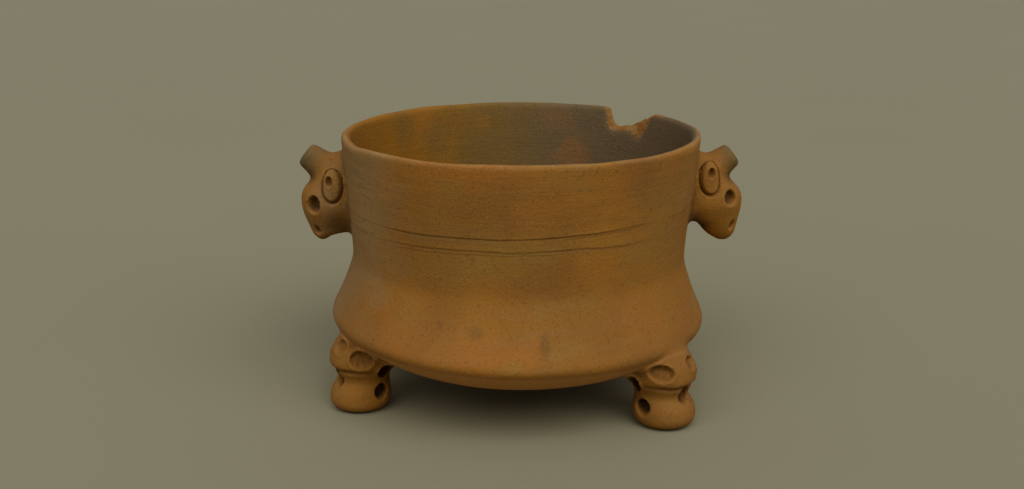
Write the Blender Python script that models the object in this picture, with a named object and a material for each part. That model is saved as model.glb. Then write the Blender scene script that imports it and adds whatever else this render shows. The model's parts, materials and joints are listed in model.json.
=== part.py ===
"""Tripod olla: a hollow fired-clay jar with two animal-head lugs and three feet modelled as faces.

The jar stands on the ground, z = 0, with its axis on the Z axis, its front at -Y and a head at +X and
at -X. Angles round the jar are in degrees from the front, growing towards +X. Lengths are in metres.
Body, heads and feet are one piece of clay, so they end up as one solid.
"""

import math

import bmesh
import bpy
from mathutils import Matrix, Vector

# Body: a concave wall that spreads down to a low shoulder, over a shallow rounded base
RIM_RADIUS = 0.0985
RIM_HEIGHT = 0.1486
NECK_RADIUS = 0.0926
NECK_HEIGHT = 0.080
SHOULDER_RADIUS = 0.106
SHOULDER_HEIGHT = 0.045
SHOULDER_ROUNDING = 0.004
BASE_DEPTH = 0.0273
WALL = 0.0048
LIP_ROUNDING = 0.0018
LEAN = 0.0186
FLARE_POWER = 1.2
SPREAD_POWER = 1.38
BASE_POWER = 3.8

# Where the body's rings of points lie: as shares of the radius under and inside the base, and how many
# steps up the wall outside and inside
BASE_SHARES = (0.0, 0.35, 0.6, 0.8, 0.92, 1.0)
FLOOR_SHARES = (0.0, 0.4, 0.7, 0.88)
OUTER_STEPS = 9
INNER_STEPS = 6

# Two lines scratched round the wall
LINE_HEIGHTS = (0.1110, 0.1040)
LINE_DEPTH = 0.0004
LINE_WIDTH = 0.0014

# The broken place in the rim: angle, and depth below the rim in thicknesses of the wall, along the outside
# and along the inside
BREAK_OUTSIDE = ((144.7, -0.625), (143, 1.396), (141.9, 1.958), (139.5, 2.063), (135.5, 1.75),
                 (131.6, 1.167), (129.9, 0.771), (126.5, 0.25), (122.5, -0.625))
BREAK_INSIDE = ((146.4, -0.625), (145.1, 1.875), (144.2, 2.896), (141, 3.104), (135.6, 2.771),
                (129.3, 4.167), (127.2, 3.958), (124.7, 1.854), (122.5, -0.625))

# Feet: angle round the jar, distance of the sole's centre from the axis as a share of SHOULDER_RADIUS, and
# how far the face is turned
FEET = ((-68.0, 0.888, 8.0), (53.0, 0.911, -7.0), (173.0, 0.863, 0.0))
FOOT_RADIUS = 0.016
FOOT_SPLAY = 0.004

# Heads: full height from chin to the tip of the peg, and how far that tip stays below the rim
HEAD_HEIGHT = 0.0543
HEAD_DROP = 0.0079

# How finely round forms are cut into facets
BODY_SIDES = 56
LIMB_SIDES = 18
PIT_SIDES = 8
EAR_SIDES = 12

CLAY_COLOUR = (0.30, 0.135, 0.045, 1.0)
CLAY_ROUGHNESS = 0.85

# Foot outline: share of the foot's height, radius and extra reach of the face as shares of FOOT_RADIUS
FOOT_OUTLINE = ((0.0, 0.66, 0.0), (0.035, 0.90, 0.05), (0.147, 1.01, 0.12), (0.30, 0.94, 0.06),
                (0.415, 0.885, 0.0), (0.475, 0.95, 0.0), (0.57, 1.13, 0.06), (0.70, 1.12, 0.06),
                (0.82, 1.03, 0.03), (0.92, 0.90, 0.0), (0.98, 0.72, 0.0))

# Pits in a foot: angle from the middle of the face, share of the foot's height, then width, height and depth
# as shares of FOOT_RADIUS, and the angle the stick came from. The brow's pit and the two eyes are shallow,
# the mouth and the four side holes deep
FOOT_PITS = ((10.0, 0.81, 0.44, 0.52, 0.16, 10.0), (60.0, 0.73, 0.80, 0.62, 0.22, 60.0),
             (-50.0, 0.75, 0.84, 0.58, 0.22, -50.0), (0.0, 0.405, 0.50, 0.62, 0.39, 0.0),
             (108.0, 0.54, 0.48, 0.52, 0.55, 80.0), (-101.0, 0.56, 0.44, 0.54, 0.55, -74.0),
             (106.0, 0.265, 0.48, 0.50, 0.55, 86.0), (-95.0, 0.28, 0.50, 0.48, 0.55, -76.0))

# All that follows on the heads is in shares of HEAD_HEIGHT
# Outline: height above the chin, reach of the face from the wall, half width
HEAD_OUTLINE = ((0.0, 0.413, 0.045), (0.051, 0.467, 0.115), (0.151, 0.489, 0.178), (0.26, 0.513, 0.24),
                (0.405, 0.535, 0.29), (0.515, 0.518, 0.284), (0.596, 0.449, 0.265), (0.66, 0.382, 0.245),
                (0.77, 0.309, 0.20), (0.86, 0.225, 0.14), (0.915, 0.12, 0.06))
# How deep the head is rooted in the wall, and how square its slices are on the side of the wall
HEAD_ROOT = -0.08
ROOT_SQUARENESS = 0.65

# The peg that leans out of the crown: reach and height of its tip, its tilt in degrees, and its outline
# as distance back from the tip and radius
PEG_TIP = (0.427, 0.90)
PEG_TILT = 38.5
PEG_OUTLINE = ((0.36, 0.19), (0.10, 0.14), (0.014, 0.129), (0.0, 0.115))

# Width, height and depth of the ears and of the pit in each; how far out along the flank the ears sit, how
# much they face forward, and the shift of the pit outward and up; eyes in shares of their own size
EAR_SIZE = (0.24, 0.385, 0.05)
EAR_FORWARD = 0.3
EAR_PIT_SIZE = (0.09, 0.15, 0.05)
EAR_PIT_SHIFT = (0.02, 0.04)
EYE_SHAPE = (1.0, 1.3, 0.6)
MOUTH_SIZE = (0.06, 0.10, 0.05)

# What differs between the two handmade heads: side, reach of the face, how far the chin draws back, then for
# ear, eye and mouth how far out along the flank and how high each sits, and the size of the eye
HEADS = ((1.0, 1.0, 0.0, (0.160, 0.69), (0.385, 0.49), (0.42, 0.195), 0.125),
         (-1.0, 0.91, 0.05, (0.130, 0.615), (0.330, 0.416), (0.31, 0.135), 0.135))
CHIN_END = 0.3

# The throat of each head: height, and how far the head's back stands clear of the wall
THROATS = (((0.0, 0.30), (0.02, 0.255), (0.044, 0.215), (0.10, 0.148), (0.167, 0.094), (0.207, 0.045),
            (0.24, -0.08)),
           ((0.0, 0.245), (0.02, 0.211), (0.05, 0.175), (0.07, 0.10), (0.085, 0.0), (0.10, -0.08)))


def direction(angle):
    """The level direction at an angle round the jar."""
    return Vector((math.sin(math.radians(angle)), -math.cos(math.radians(angle)), 0.0))


def between(keys, at):
    """The rest of a row of a table whose rows start with a growing number, read smoothly at that number."""
    upper = next((i for i, row in enumerate(keys) if row[0] >= at), len(keys) - 1)
    lower = max(upper - 1, 0)
    before, after = max(lower - 1, 0), min(upper + 1, len(keys) - 1)
    span = keys[upper][0] - keys[lower][0] or 1.0
    share = min(max((at - keys[lower][0]) / span, 0.0), 1.0)
    values = []
    for column in range(1, len(keys[0])):
        a, b, c, d = (keys[i][column] for i in (before, lower, upper, after))
        rise_b = (c - a) * span / (keys[upper][0] - keys[before][0] or span)
        rise_c = (d - b) * span / (keys[after][0] - keys[lower][0] or span)
        values.append(
            b * (2 * share ** 3 - 3 * share ** 2 + 1) + rise_b * (share ** 3 - 2 * share ** 2 + share)
            + c * (3 * share ** 2 - 2 * share ** 3) + rise_c * (share ** 3 - share ** 2))
    return values


def wall_radius(height):
    """The outer radius of the wall: narrowest at the neck, wider to the rim and to the shoulder."""
    if height >= NECK_HEIGHT:
        share = (height - NECK_HEIGHT) / (RIM_HEIGHT - NECK_HEIGHT)
        return NECK_RADIUS + (RIM_RADIUS - NECK_RADIUS) * share ** FLARE_POWER
    share = (NECK_HEIGHT - height) / (NECK_HEIGHT - SHOULDER_HEIGHT)
    return NECK_RADIUS + (SHOULDER_RADIUS - NECK_RADIUS) * share ** SPREAD_POWER


def base_height(radius):
    """The height of the underside: flat in the middle, steep at the shoulder."""
    return SHOULDER_HEIGHT - BASE_DEPTH * (1.0 - (radius / SHOULDER_RADIUS) ** BASE_POWER)


def inner_radius(height):
    """The inside of the wall, WALL away from the outside across the wall's slope."""
    step = 0.02 * WALL
    slope = (wall_radius(height + step) - wall_radius(height - step)) / (2 * step)
    return wall_radius(height) - WALL * math.hypot(1.0, slope)


def floor_height(radius):
    """The inside of the base, WALL above the underside across its slope."""
    step = 0.02 * WALL
    slope = (base_height(radius + step) - base_height(abs(radius - step))) / (2 * step)
    return base_height(radius) + WALL * math.hypot(1.0, slope)


def inner_corner():
    """The radius at which floor and inner wall meet, found by halving."""
    low, high = 0.5 * SHOULDER_RADIUS, SHOULDER_RADIUS
    for _ in range(40):
        middle = (low + high) / 2
        if inner_radius(floor_height(middle)) > middle:
            low = middle
        else:
            high = middle
    return low


def wall_heights(bottom, top, steps):
    """Evenly spaced heights up the wall."""
    return [bottom + (top - bottom) * i / steps for i in range(steps + 1)]


def lip_rounding():
    """The rounding of the lip's two edges, which leaves some of the wall between them."""
    return min(LIP_ROUNDING, 0.4 * WALL)


def outer_profile():
    """Radius and height up the outside, from the middle of the base to the middle of the mouth."""
    lip = lip_rounding()
    edge = SHOULDER_RADIUS - SHOULDER_ROUNDING * math.cos(math.radians(45))
    low_wall = SHOULDER_HEIGHT + SHOULDER_ROUNDING
    points = [(edge * share, base_height(edge * share)) for share in BASE_SHARES]
    corner = Vector((SHOULDER_RADIUS, SHOULDER_HEIGHT))
    start, end = Vector(points[-1]), Vector((wall_radius(low_wall), low_wall))
    for share in (0.25, 0.5, 0.75):
        point = (1 - share) ** 2 * start + 2 * share * (1 - share) * corner + share ** 2 * end
        points.append(tuple(point))
    heights = wall_heights(low_wall, RIM_HEIGHT - lip, OUTER_STEPS)
    clear = [h for h in heights if all(abs(h - line) > 1.5 * LINE_WIDTH for line in LINE_HEIGHTS)]
    wall = [(wall_radius(h), h) for h in clear]
    for line in LINE_HEIGHTS:
        for offset, depth in ((-0.5, 0.0), (0.0, LINE_DEPTH), (0.5, 0.0)):
            h = line + offset * LINE_WIDTH
            wall.append((wall_radius(h) - depth, h))
    points += sorted(wall, key=lambda point: point[1])
    rim = wall_radius(RIM_HEIGHT)
    points += [(rim - lip * (1 - math.cos(a)), RIM_HEIGHT - lip * (1 - math.sin(a)))
               for a in (math.radians(45), math.radians(90))]
    return points + [(0.0, RIM_HEIGHT)]


def cavity_profile():
    """Radius and height of the hollow, from the middle of the floor to above the mouth."""
    lip = lip_rounding()
    corner = inner_corner()
    points = [(corner * share, floor_height(corner * share)) for share in FLOOR_SHARES]
    heights = wall_heights(floor_height(corner), RIM_HEIGHT - lip, INNER_STEPS)
    points += [(inner_radius(h), h) for h in heights]
    mouth = inner_radius(RIM_HEIGHT)
    points += [(mouth + lip * (1 - math.cos(a)), RIM_HEIGHT - lip * (1 - math.sin(a)))
               for a in (math.radians(45), math.radians(80))]
    above = RIM_HEIGHT + WALL
    return points + [(mouth + lip, above), (0.0, above)]


def clay():
    """The fired clay, an orange brown with no gloss."""
    material = bpy.data.materials.get("fired_clay") or bpy.data.materials.new("fired_clay")
    material.use_nodes = True
    shader = material.node_tree.nodes["Principled BSDF"]
    shader.inputs["Base Color"].default_value = CLAY_COLOUR
    shader.inputs["Roughness"].default_value = CLAY_ROUGHNESS
    shader.inputs["Metallic"].default_value = 0.0
    return material


def make_object(name, bm, helper=False):
    """Turns a bmesh into an object in the scene; a helper is only there to be joined or cut away."""
    bmesh.ops.recalc_face_normals(bm, faces=bm.faces)
    mesh = bpy.data.meshes.new(name)
    bm.to_mesh(mesh)
    bm.free()
    thing = bpy.data.objects.new(name, mesh)
    bpy.context.scene.collection.objects.link(thing)
    thing.data.materials.append(clay())
    if helper:
        thing.hide_render = True
        thing.display_type = "WIRE"
    return thing


def lathe(name, profile, helper=False):
    """A closed solid turned from a profile that starts and ends on the axis."""
    bm = bmesh.new()
    points = [bm.verts.new((radius, 0.0, height)) for radius, height in profile]
    edges = [bm.edges.new(pair) for pair in zip(points, points[1:])]
    bmesh.ops.spin(bm, geom=points + edges, cent=(0, 0, 0), axis=(0, 0, 1), angle=2 * math.pi,
                   steps=BODY_SIDES, use_merge=True)
    bmesh.ops.remove_doubles(bm, verts=bm.verts, dist=1e-6)
    return make_object(name, bm, helper)


def loft(name, rings):
    """A closed solid through rings of points, each ring with the same number of points."""
    bm = bmesh.new()
    loops = [[bm.verts.new(point) for point in ring] for ring in rings]
    for lower, upper in zip(loops, loops[1:]):
        for i in range(len(lower)):
            j = (i + 1) % len(lower)
            bm.faces.new((lower[i], lower[j], upper[j], upper[i]))
    bm.faces.new(reversed(loops[0]))
    bm.faces.new(loops[-1])
    bmesh.ops.triangulate(bm, faces=bm.faces)
    return make_object(name, bm, helper=True)


def oval(centre, outward, width, height, depth, sides=PIT_SIDES):
    """An egg-shaped cutter: width across, height up, and depth along the outward direction."""
    across = Vector((0.0, 0.0, 1.0)).cross(outward).normalized()
    up = outward.cross(across)
    turn = Matrix((across, up, outward)).transposed().to_4x4()
    stretch = Matrix.Diagonal((width / 2, height / 2, depth, 1.0))
    bm = bmesh.new()
    bmesh.ops.create_uvsphere(bm, u_segments=sides, v_segments=PIT_SIDES // 2 + 1, radius=1.0,
                              matrix=Matrix.Translation(centre) @ turn @ stretch)
    return make_object("oval", bm, helper=True)


def combine(target, other, operation):
    """Joins the other object to the target, or cuts it away, and removes it."""
    modifier = target.modifiers.new(operation.lower(), "BOOLEAN")
    modifier.operation = operation
    modifier.solver = "EXACT"
    modifier.object = other
    bpy.context.view_layer.objects.active = target
    bpy.ops.object.modifier_apply(modifier=modifier.name)
    bpy.data.objects.remove(other, do_unlink=True)


def lean(thing):
    """Leans the body a little towards +X under a rim that stays level, as the soft clay settled."""
    middle = (SHOULDER_HEIGHT + RIM_HEIGHT) / 2
    for vertex in thing.data.vertices:
        x, z = vertex.co.x, vertex.co.z
        level = min(max((RIM_HEIGHT - z) / (RIM_HEIGHT - SHOULDER_HEIGHT), 0.0), 1.0)
        vertex.co.x = x + LEAN * (z - middle)
        vertex.co.z = z - LEAN * x * level


def foot(angle, distance, turn):
    """One foot: a stout peg with a brow, a waist and a jaw, pressed with eight pits and holes."""
    outward = direction(angle)
    height = SHOULDER_HEIGHT

    def point(share, around):
        """A point on the foot's skin at a share of its height, at an angle from its outer side."""
        radius, face = between(FOOT_OUTLINE, share)
        reach = FOOT_RADIUS * (radius + face * max(math.cos(math.radians(around)), 0.0))
        inward = distance * SHOULDER_RADIUS - FOOT_SPLAY * share
        return outward * inward + Vector((0.0, 0.0, height * share)) + direction(angle + around) * reach

    shares = [row[0] for row in FOOT_OUTLINE]
    shares += [(a + b) / 2 for a, b in zip(shares[2:], shares[3:]) if b - a > 0.12]
    arounds = [360.0 * i / LIMB_SIDES for i in range(LIMB_SIDES)]
    peg = loft("foot", [[point(share, around) for around in arounds] for share in sorted(shares)])
    for around, share, width, tall, depth, stick in FOOT_PITS:
        cutter = oval(point(share, turn + around), direction(angle + turn + stick), width * FOOT_RADIUS,
                      tall * FOOT_RADIUS, depth * FOOT_RADIUS)
        combine(peg, cutter, "DIFFERENCE")
    return peg


def head(side, reach, chin, ear, eye, mouth, eye_size, throat):
    """One lug: an animal's head with a peg on its crown, round ears, deep eyes and a small mouth."""
    chin_height = RIM_HEIGHT - HEAD_DROP - HEAD_HEIGHT
    wall = wall_radius(chin_height + HEAD_HEIGHT / 2)

    def place(out, across, up):
        """A point of the head from its shares of HEAD_HEIGHT out of the wall, across and above the chin."""
        return Vector((side * (wall + out * HEAD_HEIGHT), -side * across * HEAD_HEIGHT,
                       chin_height + up * HEAD_HEIGHT))

    def egg(centre, facing, size, sides=PIT_SIDES):
        """A cutter, or a disc to be joined on, with its sizes in shares of HEAD_HEIGHT."""
        return oval(centre, facing, *(HEAD_HEIGHT * length for length in size), sides=sides)

    def ring(up):
        """Middle, half depth and half width of the level slice at a height."""
        face, half_width = between(HEAD_OUTLINE, up)
        back = between(throat, up)[0] if up < throat[-1][0] else HEAD_ROOT
        face = face * reach - chin * max(1.0 - up / CHIN_END, 0.0)
        return (face + back) / 2, (face - back) / 2, half_width

    def width_share(along):
        """How wide a slice is from its face, at 1, to its root, at -1, as a share of its half width."""
        if along >= 0.0:
            return math.sqrt(1.0 - along * along)
        return (1.0 - (-along) ** (2 / ROOT_SQUARENESS)) ** (ROOT_SQUARENESS / 2)

    def skin(out, up, flank):
        """A point on the head's flank, and the way it faces, at a distance out and a height."""
        middle, half_depth, half_width = ring(up)
        along = min(max((out - middle) / half_depth, -0.95), 0.95)
        step = 0.01
        rise = (width_share(along + step) - width_share(along - step)) / (2 * step) * half_width / half_depth
        facing = Vector((-side * rise, -side * flank, 0.0)).normalized()
        return place(out, flank * half_width * width_share(along), up), facing

    def outline_point(up, turn):
        """A point of the level slice: round towards the face and squarer towards the wall."""
        middle, half_depth, half_width = ring(up)
        power = 1.0 if math.cos(turn) >= 0.0 else ROOT_SQUARENESS
        along = math.copysign(abs(math.cos(turn)) ** power, math.cos(turn))
        across = math.copysign(abs(math.sin(turn)) ** power, math.sin(turn))
        return place(middle + half_depth * along, half_width * across, up)

    turns = [2 * math.pi * i / LIMB_SIDES for i in range(LIMB_SIDES)]
    skull = loft("head", [[outline_point(up, turn) for turn in turns] for up, *_ in HEAD_OUTLINE])

    tip, tilt = place(PEG_TIP[0], 0.0, PEG_TIP[1]), math.radians(PEG_TILT)
    along = Vector((side * math.cos(tilt), 0.0, math.sin(tilt)))
    across = Vector((0.0, 1.0, 0.0))
    upward = along.cross(across)
    rings = []
    for back, radius in PEG_OUTLINE:
        middle = tip - along * back * HEAD_HEIGHT
        rings.append([middle + (across * math.cos(t) + upward * math.sin(t)) * radius * HEAD_HEIGHT
                      for t in turns])
    combine(skull, loft("peg", rings), "UNION")

    for flank in (1.0, -1.0):
        centre, facing = skin(*ear, flank)
        facing = (facing + Vector((side * EAR_FORWARD, 0.0, 0.0))).normalized()
        combine(skull, egg(centre, facing, EAR_SIZE, EAR_SIDES), "UNION")
        shift = Vector((side * EAR_PIT_SHIFT[0], 0.0, EAR_PIT_SHIFT[1])) + facing * EAR_SIZE[2]
        combine(skull, egg(centre + shift * HEAD_HEIGHT, facing, EAR_PIT_SIZE), "DIFFERENCE")
        combine(skull, egg(*skin(*eye, flank), [eye_size * share for share in EYE_SHAPE]), "DIFFERENCE")
        combine(skull, egg(*skin(*mouth, flank), MOUTH_SIZE), "DIFFERENCE")
    return skull


def break_cutter():
    """The lost chip of the rim: upright slices through the wall, deeper on the inside than on the outside."""
    past, above = WALL, 2 * WALL
    rings = []
    for (angle_out, depth_out), (angle_in, depth_in) in zip(BREAK_OUTSIDE, BREAK_INSIDE):
        height_out, height_in = RIM_HEIGHT - depth_out * WALL, RIM_HEIGHT - depth_in * WALL
        outer, inner = wall_radius(height_out), wall_radius(height_in) - WALL
        corners = ((angle_in, inner - past, height_in), (angle_in, inner, height_in),
                   (angle_out, outer, height_out), (angle_out, outer + past, height_out),
                   (angle_out, outer + past, RIM_HEIGHT + above), (angle_in, inner - past, RIM_HEIGHT + above))
        rings.append([direction(angle) * radius + Vector((0.0, 0.0, height))
                      for angle, radius, height in corners])
    return loft("lost_chip", rings)


def main():
    for thing in list(bpy.data.objects):
        bpy.data.objects.remove(thing, do_unlink=True)
    jar = lathe("tripod_olla", outer_profile())
    lean(jar)
    hollow = lathe("hollow", cavity_profile(), helper=True)
    lean(hollow)
    for place in FEET:
        combine(jar, foot(*place), "UNION")
    for features, throat in zip(HEADS, THROATS):
        combine(jar, head(*features, throat), "UNION")
    combine(jar, hollow, "DIFFERENCE")
    combine(jar, break_cutter(), "DIFFERENCE")
    bm = bmesh.new()
    bm.from_mesh(jar.data)
    bmesh.ops.remove_doubles(bm, verts=bm.verts, dist=2e-5)
    bmesh.ops.dissolve_degenerate(bm, edges=bm.edges, dist=1e-5)
    bmesh.ops.triangulate(bm, faces=bm.faces)
    bm.to_mesh(jar.data)
    bm.free()
    jar.data.shade_smooth()
    jar.data.set_sharp_from_angle(angle=math.radians(40))


main()
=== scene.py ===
# %% [markdown]
# # A small clay cooking jar on three feet
#
# The real thing is one piece of fired clay: a hollow jar with a concave wall, a low sharp shoulder and a
# shallow rounded base, three feet modelled as faces, and an animal's head stuck on each side under the rim.
# The CAD model already holds its size and its main shapes. This script models the same jar again as soft
# clay: smooth forms first, then the joints rubbed over, the pits pressed in, the lines scratched, the rim
# broken, and at last the colour of the firing, the wear, the dirt and some painted light and shade.

# %% Load the imported model
import json
import math

import bmesh
import bpy
import numpy as np
from mathutils import Matrix, Vector, noise
from mathutils.bvhtree import BVHTree

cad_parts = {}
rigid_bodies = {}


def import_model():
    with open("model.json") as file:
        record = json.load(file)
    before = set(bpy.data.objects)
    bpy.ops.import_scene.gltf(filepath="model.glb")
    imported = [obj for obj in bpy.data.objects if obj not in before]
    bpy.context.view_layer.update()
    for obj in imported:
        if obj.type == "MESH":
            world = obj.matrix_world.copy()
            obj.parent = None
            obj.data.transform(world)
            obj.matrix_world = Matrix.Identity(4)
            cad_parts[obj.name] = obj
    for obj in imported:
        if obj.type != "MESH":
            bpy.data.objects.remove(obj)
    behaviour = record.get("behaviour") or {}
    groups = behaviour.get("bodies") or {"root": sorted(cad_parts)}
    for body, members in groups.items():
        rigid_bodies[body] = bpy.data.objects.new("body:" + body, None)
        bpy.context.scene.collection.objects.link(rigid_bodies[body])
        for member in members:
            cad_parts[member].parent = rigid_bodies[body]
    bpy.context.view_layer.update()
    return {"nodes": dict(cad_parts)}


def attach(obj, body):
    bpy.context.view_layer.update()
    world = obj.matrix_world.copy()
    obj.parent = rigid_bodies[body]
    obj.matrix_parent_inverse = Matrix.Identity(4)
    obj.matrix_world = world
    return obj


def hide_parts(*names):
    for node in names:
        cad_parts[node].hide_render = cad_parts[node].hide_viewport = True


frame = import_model()
print("CAD nodes:", ", ".join(frame["nodes"]))

# %% [markdown]
# ## The camera
#
# The photograph looks down on the jar by about fifteen degrees, from in front, with a long lens. A camera
# could be aimed with a constraint, but a plain place and a plain tilt are easier to compare with a
# picture, so both are set as numbers. A long lens far away and a short lens close by show the rim's oval
# differently: this pair was found by laying the model's outline over the photograph.

# %% Camera
CAMERA_PLACE = (-0.004, -0.680, 0.2712)
CAMERA_DOWN = 15.5
CAMERA_LENS = 43.95

camera_data = bpy.data.cameras.new("camera")
camera_data.lens = CAMERA_LENS
camera_data.sensor_width = 36.0
camera_data.clip_start = 0.01
camera = bpy.data.objects.new("camera", camera_data)
camera.location = CAMERA_PLACE
camera.rotation_euler = (math.radians(90.0 - CAMERA_DOWN), 0.0, 0.0)
bpy.context.scene.collection.objects.link(camera)
bpy.context.scene.camera = camera
print("camera", CAMERA_DOWN, "degrees down, lens", CAMERA_LENS, "mm")

# %% [markdown]
# ## The body
#
# A hand-built round jar is still nearly a turned form, so its outline is drawn once, from the middle of
# the base up the outside, over the lip and down the inside, and spun round. The outline starts as a plain
# circle primitive whose points are moved onto the curve, as a wire would be bent. Sizes are in metres and
# are the same as the solid's. Angles round the jar are in degrees from the front, growing towards +X.

# %% Sizes of the body
RIM_RADIUS, RIM_HEIGHT = 0.0985, 0.1486
NECK_RADIUS, NECK_HEIGHT = 0.0926, 0.080
SHOULDER_RADIUS, SHOULDER_HEIGHT = 0.106, 0.045
SHOULDER_ROUNDING = 0.004
BASE_DEPTH = 0.0273
WALL = 0.0048
LIP_ROUNDING = 0.0018
LEAN = 0.0186
FLARE_POWER, SPREAD_POWER, BASE_POWER = 1.2, 1.38, 3.8


def direction(angle):
    """The level direction at an angle round the jar."""
    return Vector((math.sin(math.radians(angle)), -math.cos(math.radians(angle)), 0.0))


def wall_radius(height):
    """The outside of the wall: narrowest at the neck, wider to the rim and to the shoulder."""
    if height >= NECK_HEIGHT:
        share = (height - NECK_HEIGHT) / (RIM_HEIGHT - NECK_HEIGHT)
        return NECK_RADIUS + (RIM_RADIUS - NECK_RADIUS) * share ** FLARE_POWER
    share = (NECK_HEIGHT - height) / (NECK_HEIGHT - SHOULDER_HEIGHT)
    return NECK_RADIUS + (SHOULDER_RADIUS - NECK_RADIUS) * share ** SPREAD_POWER


def base_height(radius):
    """The underside: flat in the middle, steep at the shoulder."""
    return SHOULDER_HEIGHT - BASE_DEPTH * (1.0 - (radius / SHOULDER_RADIUS) ** BASE_POWER)


def steps(start, end, count):
    """Evenly spaced numbers, both ends included."""
    return [start + (end - start) * i / (count - 1) for i in range(count)]


def slope(curve, at):
    """How steeply a curve rises at a place."""
    return (curve(at + 1e-4) - curve(abs(at - 1e-4))) / 2e-4


def inner_radius(height):
    """The inside of the wall, WALL away from the outside across the wall's slope."""
    return wall_radius(height) - WALL * math.hypot(1.0, slope(wall_radius, height))


def floor_height(radius):
    """The inside of the base, WALL away from the underside across its slope."""
    return base_height(radius) + WALL * math.hypot(1.0, slope(base_height, radius))


# %% Outline of the body
WALL_POINTS, BASE_POINTS, FLOOR_POINTS, BEND_POINTS, LIP_POINTS = 44, 30, 26, 9, 5
# The lip's arc starts a little in from the wall, and its angle counts up to the top
LIP_START, LIP_TOP = 18, 90

edge = SHOULDER_RADIUS - SHOULDER_ROUNDING * math.cos(math.radians(45))
low_wall = SHOULDER_HEIGHT + SHOULDER_ROUNDING
outline = [(radius, base_height(radius)) for radius in steps(0.0, edge, BASE_POINTS)]
start, end = Vector(outline[-1]), Vector((wall_radius(low_wall), low_wall))
tip = Vector((SHOULDER_RADIUS, SHOULDER_HEIGHT))
for share in steps(0.0, 1.0, BEND_POINTS)[1:-1]:
    outline.append(tuple((1 - share) ** 2 * start + 2 * share * (1 - share) * tip + share ** 2 * end))
outline += [(wall_radius(height), height)
            for height in steps(low_wall, RIM_HEIGHT - LIP_ROUNDING, WALL_POINTS)]
lip = [(LIP_ROUNDING * (1 - math.cos(turn)), LIP_ROUNDING * (1 - math.sin(turn)))
       for turn in map(math.radians, steps(LIP_START, LIP_TOP, LIP_POINTS))]
outline += [(wall_radius(RIM_HEIGHT) - inward, RIM_HEIGHT - drop) for inward, drop in lip]
outline += [(inner_radius(RIM_HEIGHT) + outward, RIM_HEIGHT - drop) for outward, drop in reversed(lip)]
# The inside turns from wall to floor where the two lines meet
corner = next(radius for radius in steps(SHOULDER_RADIUS, 0.5 * SHOULDER_RADIUS, 2000)
              if inner_radius(floor_height(radius)) > radius)
outline += [(inner_radius(height), height)
            for height in steps(RIM_HEIGHT - LIP_ROUNDING, floor_height(corner), WALL_POINTS)]
outline += [(radius, floor_height(radius)) for radius in steps(corner, 0.0, FLOOR_POINTS)[1:]]
print("outline of", len(outline), "points, inner corner at", round(corner * 1000, 1), "mm")

# %% Spin the body
BODY_STEPS = 240
SAME_POINT = 1e-5


def start_alone():
    """Leaves nothing selected, so that an operator acts on the new piece alone."""
    bpy.ops.object.select_all(action="DESELECT")


def lean(point):
    """The soft jar settled a little towards +X under a rim that stayed level."""
    middle = (SHOULDER_HEIGHT + RIM_HEIGHT) / 2
    level = min(max((RIM_HEIGHT - point.z) / (RIM_HEIGHT - SHOULDER_HEIGHT), 0.0), 1.0)
    return Vector((point.x + LEAN * (point.z - middle), point.y, point.z - LEAN * point.x * level))


start_alone()
bpy.ops.mesh.primitive_circle_add(vertices=len(outline), radius=RIM_RADIUS, fill_type="NOTHING")
body = bpy.context.object
body.name = "body"
for vertex, (radius, height) in zip(body.data.vertices, outline):
    vertex.co = (radius, 0.0, height)
bpy.ops.object.mode_set(mode="EDIT")
wire = bmesh.from_edit_mesh(body.data)
for line in wire.edges:
    line.select = all(vertex.co.x < SAME_POINT for vertex in line.verts)
bmesh.update_edit_mesh(body.data)
bpy.ops.mesh.delete(type="EDGE")
bpy.ops.mesh.select_all(action="SELECT")
bpy.ops.mesh.spin(steps=BODY_STEPS, angle=2 * math.pi, center=(0, 0, 0), axis=(0, 0, 1))
bpy.ops.mesh.select_all(action="SELECT")
bpy.ops.mesh.remove_doubles(threshold=SAME_POINT)
bpy.ops.mesh.normals_make_consistent(inside=False)
bpy.ops.object.mode_set(mode="OBJECT")
for vertex in body.data.vertices:
    vertex.co = lean(vertex.co)
print("body:", len(body.data.polygons), "faces")

# %% [markdown]
# ## The feet
#
# Each foot is a stout peg with a face on its outer side: a heavy brow, a narrow waist where the mouth is,
# and a wide jaw to stand on. A cylinder pinched with the scale tool would be round all the way, but the
# face reaches further out than the back, so the foot is extruded ring by ring and every ring gets its own
# reach.

# %% A form grown ring by ring


def grow(name, rings):
    """Extrudes a filled circle through rings of points, all with the same number of points."""
    start_alone()
    bpy.ops.mesh.primitive_circle_add(vertices=len(rings[0]), radius=0.01, fill_type="NGON")
    thing = bpy.context.object
    thing.name = name
    bpy.ops.object.mode_set(mode="EDIT")
    bpy.ops.mesh.select_all(action="SELECT")
    mesh = bmesh.from_edit_mesh(thing.data)
    order = mesh.verts.layers.int.new("order")
    for number, vertex in enumerate(mesh.verts):
        vertex[order] = number
        vertex.co = rings[0][number]
    for ring in rings[1:]:
        bmesh.update_edit_mesh(thing.data)
        bpy.ops.mesh.extrude_region_move()
        mesh = bmesh.from_edit_mesh(thing.data)
        order = mesh.verts.layers.int["order"]
        for vertex in mesh.verts:
            if vertex.select:
                vertex.co = ring[vertex[order]]
    bmesh.update_edit_mesh(thing.data)
    bpy.ops.mesh.select_all(action="SELECT")
    bpy.ops.mesh.normals_make_consistent(inside=False)
    bpy.ops.object.mode_set(mode="OBJECT")
    return thing


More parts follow.
